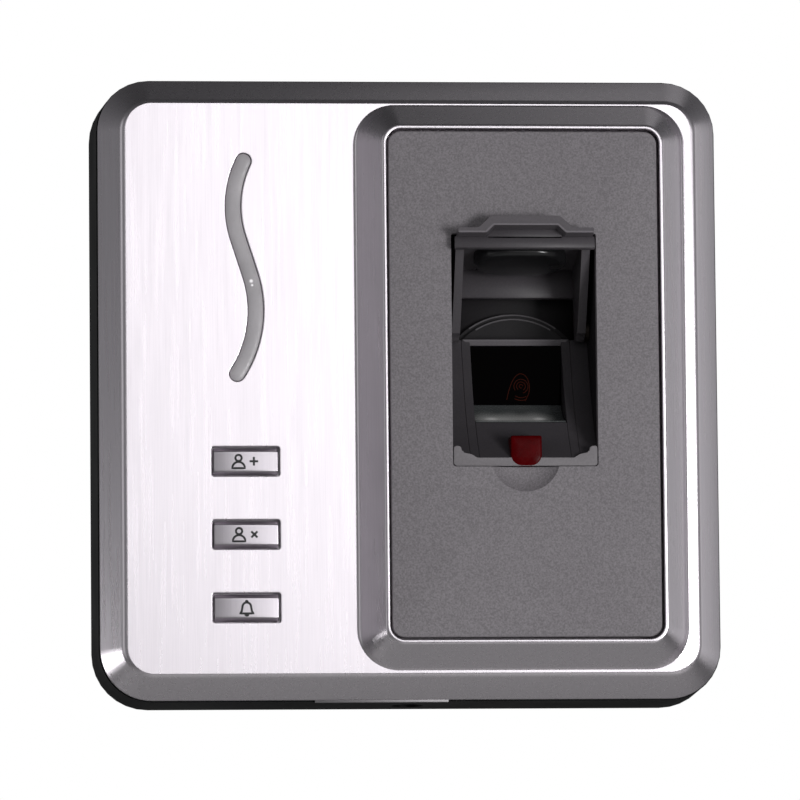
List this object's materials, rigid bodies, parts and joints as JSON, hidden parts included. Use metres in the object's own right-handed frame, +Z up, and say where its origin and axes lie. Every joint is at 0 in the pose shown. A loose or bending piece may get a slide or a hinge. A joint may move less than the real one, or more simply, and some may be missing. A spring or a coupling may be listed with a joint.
{
  "type": "fingerprint scanner terminal",
  "caption": "Wall-mounted fingerprint terminal: square brushed fascia, raised bezel, deep finger bay with a hinged hood, push keys and an S-shaped status light.",
  "frame": {"origin": "centre of the wall face, on the back of the wall plate", "axes": "+X to the right seen from the front, +Z up, the front looks towards -Y and the wall lies at +Y"},
  "size_m": [0.1056, 0.031, 0.1056],
  "materials": {
    "brushed_metal": "satin",
    "black_shell": "satin",
    "black_rubber": "matte",
    "grey_panel": "fine texture",
    "dark_grey": "satin",
    "window_glass": "polished",
    "smoked_glass": "polished",
    "red_lens": "gloss",
    "led_epoxy": "gloss",
    "clear_glass": "polished",
    "board_green": "gloss",
    "flex_film": "satin",
    "steel": "satin",
    "spring_bronze": "satin",
    "soft_pad": "satin",
    "smoky_light": "gloss",
    "key_metal": "metallised satin",
    "ferrite": "matte",
    "capacitor_sleeve": "gloss",
    "relay_blue": "gloss",
    "white_nylon": "satin",
    "orange_plastic": "satin",
    "zinc_plate": "zinc plated"
  },
  "bodies": {
    "housing": {"front_fascia": "brushed_metal", "base_shell": "black_shell", "fascia_gasket": "black_rubber", "sensor_panel": "grey_panel", "finger_guide": "dark_grey", "sensor_glass": "window_glass", "lower_glass": "smoked_glass", "red_indicator": "red_lens", "indicator_led": "led_epoxy", "sensor_prism": "clear_glass", "sensor_housing": "black_shell", "camera_lens": "black_shell", "image_board": "board_green", "backlight_leds": "led_epoxy", "ribbon_cable": "flex_film", "hinge_pins": "steel", "friction_washers": "spring_bronze", "guide_screws": "steel", "light_guide": "smoky_light", "status_leds": "led_epoxy", "key_board": "board_green", "key_switches": "black_shell", "key_board_screws": "steel", "main_board": "board_green", "processor": "black_shell", "flash_memory": "black_shell", "power_inductor": "ferrite", "capacitors": "capacitor_sleeve", "relay": "relay_blue", "buzzer": "black_shell", "cell_holder": "white_nylon", "backup_cell": "steel", "wire_headers": "white_nylon", "tamper_switch": "black_shell", "board_screws": "steel", "fascia_screws": "steel", "wall_bracket": "zinc_plate", "locking_screw": "steel"},
    "hood": {"hood_flap": "dark_grey", "hood_pad": "soft_pad"},
    "enroll_key": {"key_enroll": "key_metal", "actuator_enroll": "black_shell"},
    "delete_key": {"key_delete": "key_metal", "actuator_delete": "black_shell"},
    "bell_key": {"key_bell": "key_metal", "actuator_bell": "black_shell"},
    "tamper": {"tamper_plunger": "orange_plastic"}
  },
  "joints": [
    {"name": "hood_hinge", "type": "hinge", "parent": "housing", "child": "hood", "pos_m": [0.0184, -0.0147, 0.01005], "axis": [1, 0, 0], "range_deg": [0, 102]},
    {"name": "enroll_press", "type": "slide", "parent": "housing", "child": "enroll_key", "axis": [0, 1, 0], "range_m": [0, 0.0005], "stiffness_N_per_m": 3000, "springref_m": -0.0001},
    {"name": "delete_press", "type": "slide", "parent": "housing", "child": "delete_key", "axis": [0, 1, 0], "range_m": [0, 0.0005], "stiffness_N_per_m": 3000, "springref_m": -0.0001},
    {"name": "bell_press", "type": "slide", "parent": "housing", "child": "bell_key", "axis": [0, 1, 0], "range_m": [0, 0.0005], "stiffness_N_per_m": 3000, "springref_m": -0.0001},
    {"name": "tamper_press", "type": "slide", "parent": "housing", "child": "tamper", "axis": [0, -1, 0], "range_m": [0, 0.0008], "stiffness_N_per_m": 400, "springref_m": -0.0005}
  ]
}
